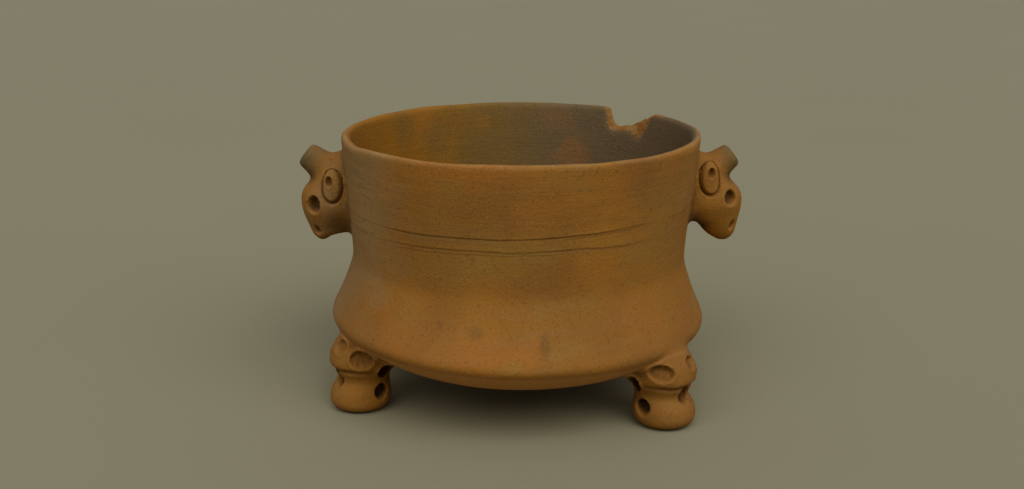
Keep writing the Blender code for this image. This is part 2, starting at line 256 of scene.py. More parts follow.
def between(keys, at):
    """The rest of a table's row, read smoothly between rows that start with a growing number."""
    upper = next((i for i, row in enumerate(keys) if row[0] >= at), len(keys) - 1)
    lower = max(upper - 1, 0)
    before, after = max(lower - 1, 0), min(upper + 1, len(keys) - 1)
    span = keys[upper][0] - keys[lower][0] or 1.0
    share = min(max((at - keys[lower][0]) / span, 0.0), 1.0)
    values = []
    for column in range(1, len(keys[0])):
        a, b, c, d = (keys[i][column] for i in (before, lower, upper, after))
        rise_b = (c - a) * span / (keys[upper][0] - keys[before][0] or span)
        rise_c = (d - b) * span / (keys[after][0] - keys[lower][0] or span)
        values.append(b * (2 * share ** 3 - 3 * share ** 2 + 1) + c * (3 * share ** 2 - 2 * share ** 3)
                      + rise_b * (share ** 3 - 2 * share ** 2 + share) + rise_c * (share ** 3 - share ** 2))
    return values


# %% The three feet
# Angle round the jar, share of the shoulder's radius, turn of the face
FEET = ((-68.0, 0.888, 8.0), (53.0, 0.911, -7.0), (173.0, 0.863, 0.0))
FOOT_RADIUS, FOOT_SPLAY = 0.016, 0.004
FOOT_RINGS, FOOT_SIDES = 34, 72
# Share of the height, radius and extra reach of the face as shares of FOOT_RADIUS
FOOT_OUTLINE = ((0.0, 0.66, 0.0), (0.035, 0.90, 0.05), (0.147, 1.01, 0.12), (0.30, 0.94, 0.06),
                (0.415, 0.885, 0.0), (0.475, 0.95, 0.0), (0.57, 1.13, 0.06), (0.70, 1.12, 0.06),
                (0.82, 1.03, 0.03), (0.92, 0.90, 0.0), (0.98, 0.72, 0.0))


def foot_point(foot, share, around):
    """A point on a foot's skin at a share of its height, at an angle from its outer side."""
    angle, distance, _ = foot
    radius, face = between(FOOT_OUTLINE, share)
    reach = FOOT_RADIUS * (radius + face * max(math.cos(math.radians(around)), 0.0))
    inward = distance * SHOULDER_RADIUS - FOOT_SPLAY * share
    return (direction(angle) * inward + Vector((0.0, 0.0, SHOULDER_HEIGHT * share))
            + direction(angle + around) * reach)


feet = []
for number, foot in enumerate(FEET):
    rings = [[foot_point(foot, share, 360 * i / FOOT_SIDES) for i in range(FOOT_SIDES)]
             for share in steps(0.0, FOOT_OUTLINE[-1][0], FOOT_RINGS)]
    feet.append(grow(f"foot_{number}", rings))
print("feet:", [len(foot.data.polygons) for foot in feet], "faces")

# %% [markdown]
# ## The heads
#
# Each lug is an animal's head that hangs against the wall under the rim, with a blunt peg on its crown that
# leans out, round ears and a narrow chin. Head and peg are grown the same way as the feet, along different
# lines. The two heads were made by hand and differ, so what differs is written down for each.

# %% Sizes of the heads
HEAD_HEIGHT, HEAD_DROP = 0.0543, 0.0079
# Height above the chin, reach of the face and half width, all as shares of HEAD_HEIGHT
HEAD_OUTLINE = ((0.0, 0.413, 0.045), (0.051, 0.467, 0.115), (0.151, 0.489, 0.178), (0.26, 0.513, 0.24),
                (0.405, 0.535, 0.29), (0.515, 0.518, 0.284), (0.596, 0.449, 0.265), (0.66, 0.382, 0.245),
                (0.77, 0.309, 0.20), (0.86, 0.225, 0.14), (0.915, 0.12, 0.06))
HEAD_ROOT, ROOT_SQUARENESS, CHIN_END = -0.08, 0.65, 0.3
PEG_TIP, PEG_TILT = (0.427, 0.90), 38.5
# Distance back from the tip and radius of the peg, as shares of HEAD_HEIGHT
PEG_OUTLINE = ((0.36, 0.19), (0.10, 0.14), (0.014, 0.129), (0.0, 0.115))
EAR_SIZE, EAR_FORWARD = (0.24, 0.385, 0.05), 0.3
# For each head: its side, the reach of its face, how far its chin draws back, the line of its throat, then
# how far out and up its marks sit, in shares of HEAD_HEIGHT, with the eye's width, height and tilt
HEADS = (
    {"side": 1.0, "reach": 1.0, "chin": 0.0, "ear": (0.160, 0.696), "ear_pit": (0.148, 0.742),
     "eye": (0.392, 0.482), "eye_size": (0.0074, 0.0080), "eye_tilt": 0.0, "mouth": (0.430, 0.180),
     "throat": ((0.0, 0.30), (0.02, 0.255), (0.044, 0.215), (0.10, 0.148), (0.167, 0.094), (0.207, 0.045),
                (0.24, -0.08))},
    {"side": -1.0, "reach": 0.91, "chin": 0.05, "ear": (0.128, 0.620), "ear_pit": (0.140, 0.660),
     "eye": (0.338, 0.412), "eye_size": (0.0078, 0.0098), "eye_tilt": -14.0, "mouth": (0.320, 0.125),
     "throat": ((0.0, 0.245), (0.02, 0.211), (0.05, 0.175), (0.07, 0.10), (0.085, 0.0), (0.10, -0.08))},
)
CHIN_HEIGHT = RIM_HEIGHT - HEAD_DROP - HEAD_HEIGHT
HEAD_WALL = wall_radius(CHIN_HEIGHT + HEAD_HEIGHT / 2)


def head_point(head, out, across, up):
    """A place in a head from its shares of HEAD_HEIGHT out of the wall, across, and above the chin."""
    side = head["side"]
    return Vector((side * (HEAD_WALL + out * HEAD_HEIGHT), -side * across * HEAD_HEIGHT,
                   CHIN_HEIGHT + up * HEAD_HEIGHT))


def head_slice(head, up):
    """Middle, half depth and half width of a head's level slice."""
    face, half_width = between(HEAD_OUTLINE, up)
    throat = head["throat"]
    back = between(throat, up)[0] if up < throat[-1][0] else HEAD_ROOT
    face = face * head["reach"] - head["chin"] * max(1.0 - max(up, 0.0) / CHIN_END, 0.0)
    return (face + back) / 2, (face - back) / 2, half_width


def slice_point(head, up, turn):
    """A point of a level slice, which is round towards the face and squarer towards the wall."""
    middle, half_depth, half_width = head_slice(head, up)
    power = 1.0 if math.cos(turn) >= 0.0 else ROOT_SQUARENESS
    along = math.copysign(abs(math.cos(turn)) ** power, math.cos(turn))
    across = math.copysign(abs(math.sin(turn)) ** power, math.sin(turn))
    return head_point(head, middle + half_depth * along, half_width * across, up)


def width_share(along):
    """How wide a slice is between its face, at 1, and its root, at -1, as a share of its half width."""
    if along >= 0.0:
        return math.sqrt(1.0 - along * along)
    return (1.0 - (-along) ** (2 / ROOT_SQUARENESS)) ** (ROOT_SQUARENESS / 2)


def head_skin(head, place, flank):
    """A point on a head's flank, and the way it faces."""
    out, up = place
    middle, half_depth, half_width = head_slice(head, up)
    along = min(max((out - middle) / half_depth, -0.95), 0.95)
    step = 0.01
    narrowing = (width_share(along + step) - width_share(along - step)) / (2 * step)
    narrowing *= half_width / half_depth
    facing = Vector((-head["side"] * narrowing, -head["side"] * flank, 0.0)).normalized()
    return head_point(head, out, flank * half_width * width_share(along), up), facing


# %% Skulls, pegs and ears
CHIN_CAP = -0.012
HEAD_SIDES, SKULL_SLICES, PEG_SLICES = 64, 35, 26


def facing_matrix(centre, facing, width, height, depth, tilt=0.0):
    """Puts a unit ball at a place: width across, height up, depth along the way it faces."""
    across = Vector((0.0, 0.0, 1.0)).cross(facing).normalized()
    turn = Matrix((across, facing.cross(across), facing)).transposed().to_4x4()
    return (Matrix.Translation(centre) @ turn @ Matrix.Rotation(math.radians(tilt), 4, "Z")
            @ Matrix.Diagonal((width / 2, height / 2, depth, 1.0)))


def pebble(name, matrix):
    """A ball of clay pressed flat, with its place in its mesh."""
    start_alone()
    bpy.ops.mesh.primitive_uv_sphere_add(segments=40, ring_count=20, radius=1.0)
    thing = bpy.context.object
    thing.name = name
    thing.data.transform(matrix)
    return thing


def ear_facing(head, flank):
    """An ear faces sideways, and a little forward with the animal."""
    _, facing = head_skin(head, head["ear"], flank)
    return (facing + Vector((head["side"] * EAR_FORWARD, 0.0, 0.0))).normalized()


turns = [2 * math.pi * i / HEAD_SIDES for i in range(HEAD_SIDES)]
peg_keys = tuple((-back, radius) for back, radius in PEG_OUTLINE)
heads = []
for head in HEADS:
    skull = grow("skull", [[slice_point(head, up, turn) for turn in turns]
                           for up in steps(CHIN_CAP, HEAD_OUTLINE[-1][0], SKULL_SLICES)])
    tip, tilt = head_point(head, PEG_TIP[0], 0.0, PEG_TIP[1]), math.radians(PEG_TILT)
    along = Vector((head["side"] * math.cos(tilt), 0.0, math.sin(tilt)))
    across = Vector((0.0, 1.0, 0.0))
    upward = along.cross(across)
    rings = []
    for back in steps(PEG_OUTLINE[0][0], 0.0, PEG_SLICES):
        radius = between(peg_keys, -back)[0]
        middle = tip - along * back * HEAD_HEIGHT
        rings.append([middle + (across * math.cos(t) + upward * math.sin(t)) * radius * HEAD_HEIGHT
                      for t in turns])
    peg = grow("peg", rings)
    ears = []
    for flank in (1.0, -1.0):
        centre, _ = head_skin(head, head["ear"], flank)
        size = [HEAD_HEIGHT * share for share in EAR_SIZE]
        ears.append(pebble("ear", facing_matrix(centre, ear_facing(head, flank), *size)))
    heads.append([skull, peg, *ears])
print("heads:", [sum(len(piece.data.polygons) for piece in head) for head in heads], "faces each")

# %% [markdown]
# ## The broken rim
#
# A chip is lost from the rim at the back right, and a flake came off the inside with it, so the break runs
# deeper inside than outside. A Boolean modifier cuts it with a block grown along the rim. It is cut before
# the parts are joined, because a Boolean is quickest and safest on a plain turned wall.

# %% Cut the break
# Angle round the jar and depth below the rim, along the break's edge on the outside and on the inside
BREAK_OUTSIDE = ((144.7, -0.003), (143.0, 0.0067), (141.9, 0.0094), (139.5, 0.0099), (135.5, 0.0084),
                 (131.6, 0.0056), (129.9, 0.0037), (126.5, 0.0012), (122.5, -0.003))
BREAK_INSIDE = ((146.4, -0.003), (145.1, 0.0090), (144.2, 0.0139), (141.0, 0.0149), (135.6, 0.0133),
                (129.3, 0.0200), (127.2, 0.0190), (124.7, 0.0089), (122.5, -0.003))
BREAK_ABOVE, BREAK_RINGS = 0.008, 33


def along_rows(rows, at):
    """A table's row read straight between its neighbours, at a number of rows from the start."""
    lower = min(int(at), len(rows) - 2)
    share = at - lower
    return [a + (b - a) * share for a, b in zip(rows[lower], rows[lower + 1])]


rings = []
for at in steps(0.0, len(BREAK_OUTSIDE) - 1, BREAK_RINGS):
    angle_out, depth_out = along_rows(BREAK_OUTSIDE, at)
    angle_in, depth_in = along_rows(BREAK_INSIDE, at)
    height_out, height_in = RIM_HEIGHT - depth_out, RIM_HEIGHT - depth_in
    outer, inner = wall_radius(height_out), wall_radius(height_in) - WALL
    corners = ((angle_in, inner - WALL, height_in), (angle_in, inner, height_in),
               (angle_out, outer, height_out), (angle_out, outer + WALL, height_out),
               (angle_out, outer + WALL, RIM_HEIGHT + BREAK_ABOVE),
               (angle_in, inner - WALL, RIM_HEIGHT + BREAK_ABOVE))
    rings.append([direction(angle) * radius + Vector((0.0, 0.0, height))
                  for angle, radius, height in corners])
chip = grow("lost_chip", rings)
bpy.ops.object.mode_set(mode="EDIT")
bpy.ops.mesh.select_all(action="SELECT")
bpy.ops.mesh.quads_convert_to_tris()
bpy.ops.object.mode_set(mode="OBJECT")


def shape_of(thing):
    """The form of a piece as it is now, to measure distances to it later."""
    return BVHTree.FromPolygons([v.co.copy() for v in thing.data.vertices],
                                [tuple(p.vertices) for p in thing.data.polygons])


def apply(thing, kind, **settings):
    """Adds a modifier to a piece and applies it."""
    modifier = thing.modifiers.new(kind.lower(), kind)
    for name, value in settings.items():
        setattr(modifier, name, value)
    bpy.context.view_layer.objects.active = thing
    bpy.ops.object.modifier_apply(modifier=modifier.name)


whole_wall = shape_of(body)
apply(body, "BOOLEAN", operation="DIFFERENCE", solver="EXACT", object=chip)
bpy.data.objects.remove(chip)
print("body with its break:", len(body.data.polygons), "faces")

# %% [markdown]
# ## One lump of clay
#
# The potter stuck the heads and feet on and rubbed the joints until they were one. The same is done here:
# all forms are joined, a voxel remesh fuses them into one skin of small even squares, and the corners where
# two forms meet are smoothed more than the rest. The distance to both forms says how close a point is to
# their joint.

# %% Fuse the forms
FIRST_VOXEL = 0.001

body_shape = shape_of(body)
foot_shapes = [shape_of(foot) for foot in feet]
head_shapes = [[shape_of(piece) for piece in head] for head in heads]
start_alone()
for thing in (body, *feet, *(piece for head in heads for piece in head)):
    thing.select_set(True)
bpy.context.view_layer.objects.active = body
bpy.ops.object.join()
jar = body
jar.name = "clay_jar"
apply(jar, "REMESH", mode="VOXEL", voxel_size=FIRST_VOXEL)
print("fused:", len(jar.data.polygons), "faces")


# %% Points as arrays


def places(thing):
    """All points of a piece as an array."""
    co = np.empty(len(thing.data.vertices) * 3, np.float32)
    thing.data.vertices.foreach_get("co", co)
    return co.reshape(-1, 3).astype(float)


def ways(thing):
    """The way each point of a piece faces."""
    normals = np.empty(len(thing.data.vertices) * 3, np.float32)
    thing.data.vertex_normals.foreach_get("vector", normals)
    return normals.reshape(-1, 3).astype(float)


def put(thing, co):
    """Moves all points of a piece."""
    thing.data.vertices.foreach_set("co", co.astype(np.float32).ravel())
    thing.data.update()


print("points of the lump:", len(places(jar)))

# %% Rub the joints
# How far from the joint's middle to look, how wide the rubbed band is, and how many times it is smoothed
FOOT_JOINT, HEAD_JOINT, PEG_TO_WALL = (0.034, 0.006, 40), (0.040, 0.0055, 30), (0.040, 0.005, 25)
PEG_JOINT, EAR_JOINT = (0.040, 0.0025, 6), (0.040, 0.0025, 8)
FOOT_JOINT_UP, HEAD_JOINT_PLACE = 0.75, (0.2, 0.0, 0.55)


def rub(thing, first, second, middle, around, width, times):
    """Smooths the corner between two forms, for points within a distance round a middle."""
    co = places(thing)
    close = np.nonzero(np.linalg.norm(co - np.array(middle), axis=1) < around)[0]
    group = thing.vertex_groups.new(name="joint")
    count = 0
    for index in close:
        point = Vector(co[index])
        gap = first.find_nearest(point)[3] + second.find_nearest(point)[3]
        if gap < width:
            share = 1.0 - gap / width
            group.add([int(index)], min(1.0, 2.0 * share) ** 2, "REPLACE")
            count += 1
    apply(thing, "SMOOTH", factor=0.5, iterations=times, vertex_group="joint")
    thing.vertex_groups.remove(thing.vertex_groups["joint"])
    return count


for (angle, distance, _), shape in zip(FEET, foot_shapes):
    top = direction(angle) * distance * SHOULDER_RADIUS + Vector((0, 0, FOOT_JOINT_UP * SHOULDER_HEIGHT))
    print("foot joint:", rub(jar, body_shape, shape, top, *FOOT_JOINT), "points rubbed")
for head, (skull, peg, *ears) in zip(HEADS, head_shapes):
    middle = head_point(head, *HEAD_JOINT_PLACE)
    print("head joint:", rub(jar, body_shape, skull, middle, *HEAD_JOINT), "points rubbed")
    rub(jar, body_shape, peg, middle, *PEG_TO_WALL)
    rub(jar, skull, peg, middle, *PEG_JOINT)
    for ear in ears:
        rub(jar, skull, ear, middle, *EAR_JOINT)
apply(jar, "SMOOTH", factor=0.5, iterations=3)

# %% [markdown]
# ## Pits pressed in
#
# Eyes, mouths and the holes of the feet were pressed into the soft clay with a stick or a fingertip. A
# Boolean would cut them with a knife's edge. A stick pushes the clay in and raises a low lip round the
# pit, so each point under the stick is moved along the way the stick faced, by a depth that depends only
# on how far the point is from the middle. Another remesh afterwards gives the stretched sides small
# squares again.

# %% What a stick leaves behind


# The pushed-up lip lies just outside the outline, at this share and this wide, and nothing moves beyond
# PRESS_END. Skin turned away from the stick more steeply than STEEP isn't pressed.
LIP_AT, LIP_WIDE, PRESS_END = 1.18, 0.16, 2.2
STEEP, STEEP_FULL, REACH_FADE = 0.16, 0.384, 2.5


def smooth_step(values, low, high):
    """Rises softly from 0 at low to 1 at high."""
    share = np.clip((values - low) / (high - low), 0.0, 1.0)
    return share * share * (3.0 - 2.0 * share)


def bump(values, middle, width):
    """A soft hill round a middle."""
    return np.exp(-((values - middle) / width) ** 2)


def bowl(depth, lip, sharp=0.12):
    """A round-bottomed pit."""
    def profile(share, local):
        curve = np.sqrt(np.clip(1.0 - (0.90 * share) ** 2, 0.0, 1.0))
        return depth * curve * smooth_step(1.0 - share, 0.0, sharp) - lip * bump(share, LIP_AT, LIP_WIDE)
    return profile


def hole(depth, lip, sharp=0.2):
    """A hole with steep sides and a nearly flat floor."""
    def profile(share, local):
        flat = depth * (1.0 - 0.15 * share ** 2)
        return flat * smooth_step(1.08 - share, 0.0, sharp) - lip * bump(share, LIP_AT, LIP_WIDE)
    return profile


def press(co, normals, matrix, profile, reach=0.007, only=True):
    """Moves the skin in along the stick: matrix places the outline, profile gives the depth.

    Says which points were near, their share of the way to the outline, and how fully they were pressed.
    """
    inverse = matrix.inverted()
    local = co @ np.array(inverse.to_3x3()).T + np.array(inverse.translation)
    facing = np.array(matrix.to_3x3().col[2].normalized())
    share = np.hypot(local[:, 0], local[:, 1])
    near = (np.abs(local[:, 2]) < reach) & (share < PRESS_END) & (normals @ facing > 0.0) & only
    full = smooth_step(normals[near] @ facing, STEEP, STEEP_FULL)
    full *= np.clip(REACH_FADE * (1.0 - np.abs(local[near, 2]) / reach), 0.0, 1.0)
    co[near] -= np.outer(profile(share[near], local[near]) * full, facing)
    return near, share[near], full


def touch(shape, near, facing, back=0.008):
    """Where a stick that comes from outside first touches the clay."""
    hit = shape.ray_cast(near + facing * back, -facing, 2 * back)[0]
    return hit if hit else near


# %% Pits of the feet
# Kind, width, height and depth in metres, tilt, height of the lip, and the angle the stick came from less
# the angle of the pit; then for each foot the angle from the middle of the face and the share of the height
FOOT_PITS = (
    (bowl, 0.0086, 0.0070, 0.0026, 0.0, 0.0009, 0.0, ((11.0, 0.835), (16.0, 0.795), (9.0, 0.81))),
    (bowl, 0.0126, 0.0098, 0.0036, 0.0, 0.0008, 0.0, ((60.0, 0.723), (60.0, 0.730), (58.0, 0.728))),
    (bowl, 0.0132, 0.0084, 0.0036, -6.0, 0.0008, 0.0, ((-52.0, 0.74), (-50.0, 0.740), (-55.0, 0.735))),
    (hole, 0.0074, 0.0092, 0.0080, 0.0, 0.0003, 0.0, ((1.0, 0.42), (2.0, 0.42), (0.0, 0.41))),
    (hole, 0.0088, 0.0080, 0.0090, 0.0, 0.0016, -26.0, ((109.0, 0.53), (108.0, 0.54), (107.0, 0.54))),
    (hole, 0.0084, 0.0092, 0.0090, 10.0, 0.0016, 27.0, ((-101.0, 0.56), (-107.0, 0.542), (-104.0, 0.55))),
    (hole, 0.0076, 0.0076, 0.0090, 0.0, 0.0003, -18.0, ((108.0, 0.262), (106.0, 0.265), (105.0, 0.27))),
    (hole, 0.0086, 0.0078, 0.0090, 0.0, 0.0003, 18.0, ((-95.0, 0.28), (-95.0, 0.270), (-94.0, 0.28))),
)

co, normals = places(jar), ways(jar)
soft_shape = shape_of(jar)
for kind, width, height, depth, tilt, lip, stick, spots in FOOT_PITS:
    for foot, (around, share) in zip(FEET, spots):
        facing = direction(foot[0] + foot[2] + around + stick)
        centre = touch(soft_shape, foot_point(foot, share, foot[2] + around), facing)
        press(co, normals, facing_matrix(centre, facing, width, height, 1.0, tilt), kind(depth, lip))
print("feet:", len(FOOT_PITS), "pits each")

# %% Eyes and mouths of the heads
EYE_DEPTH, EYE_LIP = 0.0052, 0.0003
MOUTH_DEPTH, MOUTH_LIP, MOUTH_SHARP, MOUTH_SIZE = 0.0028, 0.0002, 0.4, (0.0040, 0.0070)
HEAD_REACH = 0.006


def mark_matrix(shape, head, mark, flank, size, facing=None, tilt=0.0):
    """Where a stick meets a head's mark, facing as the skin does there unless told otherwise."""
    near, skin_facing = head_skin(head, head[mark], flank)
    if facing is None:
        facing = skin_facing
    return facing_matrix(touch(shape, near, facing), facing, *size, 1.0, tilt)


for head in HEADS:
    for flank in (1.0, -1.0):
        tilt = head["eye_tilt"] * flank * head["side"]
        matrix = mark_matrix(soft_shape, head, "eye", flank, head["eye_size"], tilt=tilt)
        press(co, normals, matrix, hole(EYE_DEPTH, EYE_LIP), HEAD_REACH)
        matrix = mark_matrix(soft_shape, head, "mouth", flank, MOUTH_SIZE)
        press(co, normals, matrix, bowl(MOUTH_DEPTH, MOUTH_LIP, MOUTH_SHARP), HEAD_REACH)
put(jar, co)
print("heads: eyes and mouths pressed in")

# %% An even skin again
SECOND_VOXEL = 0.0008
apply(jar, "REMESH", mode="VOXEL", voxel_size=SECOND_VOXEL)
apply(jar, "SMOOTH", factor=0.5, iterations=2)
print("skin:", len(jar.data.polygons), "faces")

# %% [markdown]
# ## The potter's hand
#
# No hand-built wall is truly round or even. A slow noise moves the skin a few tenths of a millimetre,
# more on the wall than on the soles, which have to stay flat. The lip wanders a little too, and it is
# worn low in one place at the front left. A Displace modifier could do it, but the amount depends on
# height and angle, and that is easier to say in code.

# %% Uneven by hand
SLOW_WAVE, SLOW_DEPTH = 0.045, 0.00035
QUICK_WAVE, QUICK_DEPTH = 0.013, 0.00012
LIP_BAND, LIP_WAVE, LIP_DEPTH = 0.009, 0.022, 0.0005
SOLE_STILL, SOLE_FREE = 0.002, 0.012
WORN_ANGLE, WORN_WIDTH, WORN_DEPTH = -64.0, 6.0, 0.0011


def rough(co, wave, seed):
    """Smooth noise between about -1 and 1 at each point."""
    offset = Vector((seed, 2.3 * seed, -1.7 * seed))
    return np.array([noise.noise(Vector(point) / wave + offset) for point in co])


def unlean(co):
    """Radius and height of each point on the upright jar."""
    middle = (SHOULDER_HEIGHT + RIM_HEIGHT) / 2
    level = np.clip((RIM_HEIGHT - co[:, 2]) / (RIM_HEIGHT - SHOULDER_HEIGHT), 0.0, 1.0)
    height = co[:, 2] + LEAN * co[:, 0] * level
    return np.hypot(co[:, 0] - LEAN * (height - middle), co[:, 1]), height


def angle_of(co):
    """Angle round the jar in degrees from the front, growing towards +X."""
    return np.degrees(np.arctan2(co[:, 0], -co[:, 1]))


co, normals = places(jar), ways(jar)
free = smooth_step(co[:, 2], SOLE_STILL, SOLE_FREE)
moved = SLOW_DEPTH * rough(co, SLOW_WAVE, 1.0) + QUICK_DEPTH * rough(co, QUICK_WAVE, 5.0)
co += normals * (moved * free)[:, None]
lip = smooth_step(co[:, 2], RIM_HEIGHT - LIP_BAND, RIM_HEIGHT)
level = co * np.array((1.0, 1.0, 0.0))
co[:, 2] += lip * LIP_DEPTH * rough(level, LIP_WAVE, 9.0)
co[:, 2] -= lip * WORN_DEPTH * bump(angle_of(co), WORN_ANGLE, WORN_WIDTH)
co[:, 2] = np.maximum(co[:, 2], 0.0)
put(jar, co)
print("moved by hand: up to", round(float(np.abs(moved).max()) * 1000, 2), "mm")

# %% [markdown]
# ## Fine marks
#
# Ears ringed with a groove, lines scratched round the wall, the crease under each foot's brow and the rough
# break are finer than the skin's squares. Only there is the skin subdivided, as a modeller would add faces
# where the detail is.

# %% Add faces where the fine marks go
# Each line: angles and heights along it, then its depth and half its width
LINES = (
    (((-180, 0.1100), (-60, 0.1093), (-42, 0.1095), (-20, 0.1102), (0, 0.1106), (20, 0.1119), (36, 0.1128),
      (48, 0.1122), (180, 0.1100)), 0.00032, 0.00048),
    (((-180, 0.1040), (-60, 0.1020), (-45, 0.1024), (-20, 0.1039), (0, 0.1037), (20, 0.1048), (33, 0.1033),
      (60, 0.1035), (180, 0.1040)), 0.00022, 0.00055),
    (((10, 0.1098), (20, 0.1108), (36, 0.1117), (46, 0.1112), (73, 0.1088)), 0.00020, 0.00045),
    (((-46, 0.1004), (-20, 0.1020), (-4, 0.1022), (14, 0.1026)), 0.00013, 0.00050),
)
# Away from the front the lines grow fainter, over LINE_FADE degrees. A line with ends runs out over
# LINE_END.
LINE_FRONT, LINE_FADE, LINE_BEHIND, LINE_END = 36.0, 16.0, 0.30, 8.0
LINE_WANDER, LINE_NEAR = 0.00035, 0.0013
LINES_MIDDLE, LINES_BAND = 0.107, 0.008
WALL_AT_LINES = wall_radius(LINES_MIDDLE)
BREAK_FROM, BREAK_TO, BREAK_LOW = 118.0, 151.0, 0.124
# The zone round an ear's middle, and round a foot's face, that gets more faces
EAR_ZONE, EAR_ZONE_DEPTH = np.array((0.008, 0.008, 0.0125)), 0.006
FACE_REACH, FACE_BACK, FACE_MIDDLE, FACE_HALF = 0.022, -0.001, 0.64, 0.26


def line_shape(co, line):
    """How far above a scratched line each point is, and how strong the line is there."""
    path, depth, width = line
    angle = angle_of(co)
    angles, heights = zip(*path)
    height = np.interp(angle, angles, heights)
    turn = np.radians(angle)
    # Each line's width gives it a place of its own in the noise
    level = np.stack((np.cos(turn), np.sin(turn), np.full(len(co), width * 900)), 1)
    height += LINE_WANDER * rough(level, 0.16, 3.0)
    strength = 1.0 - (1.0 - LINE_BEHIND) * smooth_step(np.abs(angle), LINE_FRONT, LINE_FRONT + LINE_FADE)
    if angles[0] > -180:
        strength *= smooth_step(angle, angles[0], angles[0] + LINE_END)
        strength *= smooth_step(-angle, -angles[-1], LINE_END - angles[-1])
    patchy = np.clip(0.85 + 0.6 * rough(level, 0.35, 7.0), 0.35, 1.0)
    return co[:, 2] - height, strength * patchy


def add_faces(thing, tests, cuts):
    """Subdivides the faces whose middles pass one of the tests."""
    mesh = thing.data
    middles = np.empty(len(mesh.polygons) * 3, np.float32)
    mesh.polygons.foreach_get("center", middles)
    middles = middles.reshape(-1, 3).astype(float)
    chosen = np.any([test(middles) for test in tests], axis=0)
    start_alone()
    thing.select_set(True)
    bpy.context.view_layer.objects.active = thing
    bpy.context.tool_settings.mesh_select_mode = (False, False, True)
    mesh.vertices.foreach_set("select", np.zeros(len(mesh.vertices), bool))
    mesh.edges.foreach_set("select", np.zeros(len(mesh.edges), bool))
    mesh.polygons.foreach_set("select", chosen)
    bpy.ops.object.mode_set(mode="EDIT")
    bpy.ops.mesh.subdivide(number_cuts=cuts)
    bpy.ops.object.mode_set(mode="OBJECT")
    return int(chosen.sum())


def in_band(co):
    """True for points at about the lines' height."""
    return np.abs(co[:, 2] - LINES_MIDDLE) < LINES_BAND


def near_lines(co):
    """True beside a line, on the outer half of the wall."""
    outside = np.hypot(co[:, 0], co[:, 1]) > NECK_RADIUS - 0.5 * WALL
    band = np.nonzero(in_band(co) & outside)[0]
    chosen = np.zeros(len(co), bool)
    for line in LINES:
        up, strength = line_shape(co[band], line)
        chosen[band[(np.abs(up) < LINE_NEAR) & (strength > 0.05)]] = True
    return chosen


def near_ears(co):
    """True on an ear and just round it."""
    chosen = np.zeros(len(co), bool)
    for head in HEADS:
        for flank in (1.0, -1.0):
            centre, facing = head_skin(head, head["ear"], flank)
            away = co - np.array(centre)
            depth = away @ np.array(facing)
            sideways = (away - np.outer(depth, np.array(facing))) / EAR_ZONE
            chosen |= (np.abs(depth) < EAR_ZONE_DEPTH) & (np.linalg.norm(sideways, axis=1) < 1)
    return chosen


def near_break(co):
    """True on the wall round the break."""
    angle = angle_of(co)
    return (angle > BREAK_FROM) & (angle < BREAK_TO) & (co[:, 2] > BREAK_LOW) & (co[:, 1] > 0)


def near_faces(co):
    """True on the face of a foot."""
    chosen = np.zeros(len(co), bool)
    for angle, distance, turn in FEET:
        away = co - np.array(direction(angle) * (distance * SHOULDER_RADIUS))
        chosen |= ((np.hypot(away[:, 0], away[:, 1]) < FACE_REACH)
                   & (away @ np.array(direction(angle + turn)) > FACE_BACK)
                   & (np.abs(co[:, 2] / SHOULDER_HEIGHT - FACE_MIDDLE) < FACE_HALF))
    return chosen


print("faces added near lines and ears:", add_faces(jar, (near_lines, near_ears), 2))
print("faces added near the break and the feet's faces:", add_faces(jar, (near_break, near_faces), 1))
print("skin:", len(jar.data.polygons), "faces")

# %% Lines, creases and ears
PIT_GRAIN, PIT_GRAIN_SIZE, PIT_GRAIN_FULL = 0.0005, 0.0019, 0.002
WALL_NEAR = 0.0012
# Share of the height, depth and width of the waves round each foot's face, and how much painted shade
# darkens them: the crease under the brow, a faint one below it and a low swelling
BROW_SHARE = 0.540
FOOT_CREASES = ((BROW_SHARE, 0.0016, 0.034, 0.75), (0.390, 0.0004, 0.050, 0.0), (0.260, -0.0005, 0.060, 0.0))
CREASE_REACH, CREASE_WANDER, CREASE_WAVE = 0.021, 0.026, 0.016
EAR_RING, EAR_RING_DEPTH, EAR_RING_WIDTH, EAR_SWELL = (0.0112, 0.0196), 0.0023, 0.095, 0.0006
EAR_PIT, EAR_PIT_DEPTH, EAR_PIT_LIP, EAR_PIT_SHARP = (0.0042, 0.0062), 0.0032, 0.0002, 0.45
EAR_REACH, EAR_GROOVE_SHADE = 0.0052, 1.1


def ring_groove(wall_side):
    """A groove all round a disc that swells a little inside it, deeper on the side of the jar's wall."""
    def profile(share, local):
        deeper = 1.0 + 0.15 * np.clip(local[:, 0] * wall_side, -1.0, 1.0)
        swell = np.clip(1.0 - share ** 2, 0.0, 1.0)
        return EAR_RING_DEPTH * deeper * bump(share, 1.0, EAR_RING_WIDTH) - EAR_SWELL * swell
    return profile


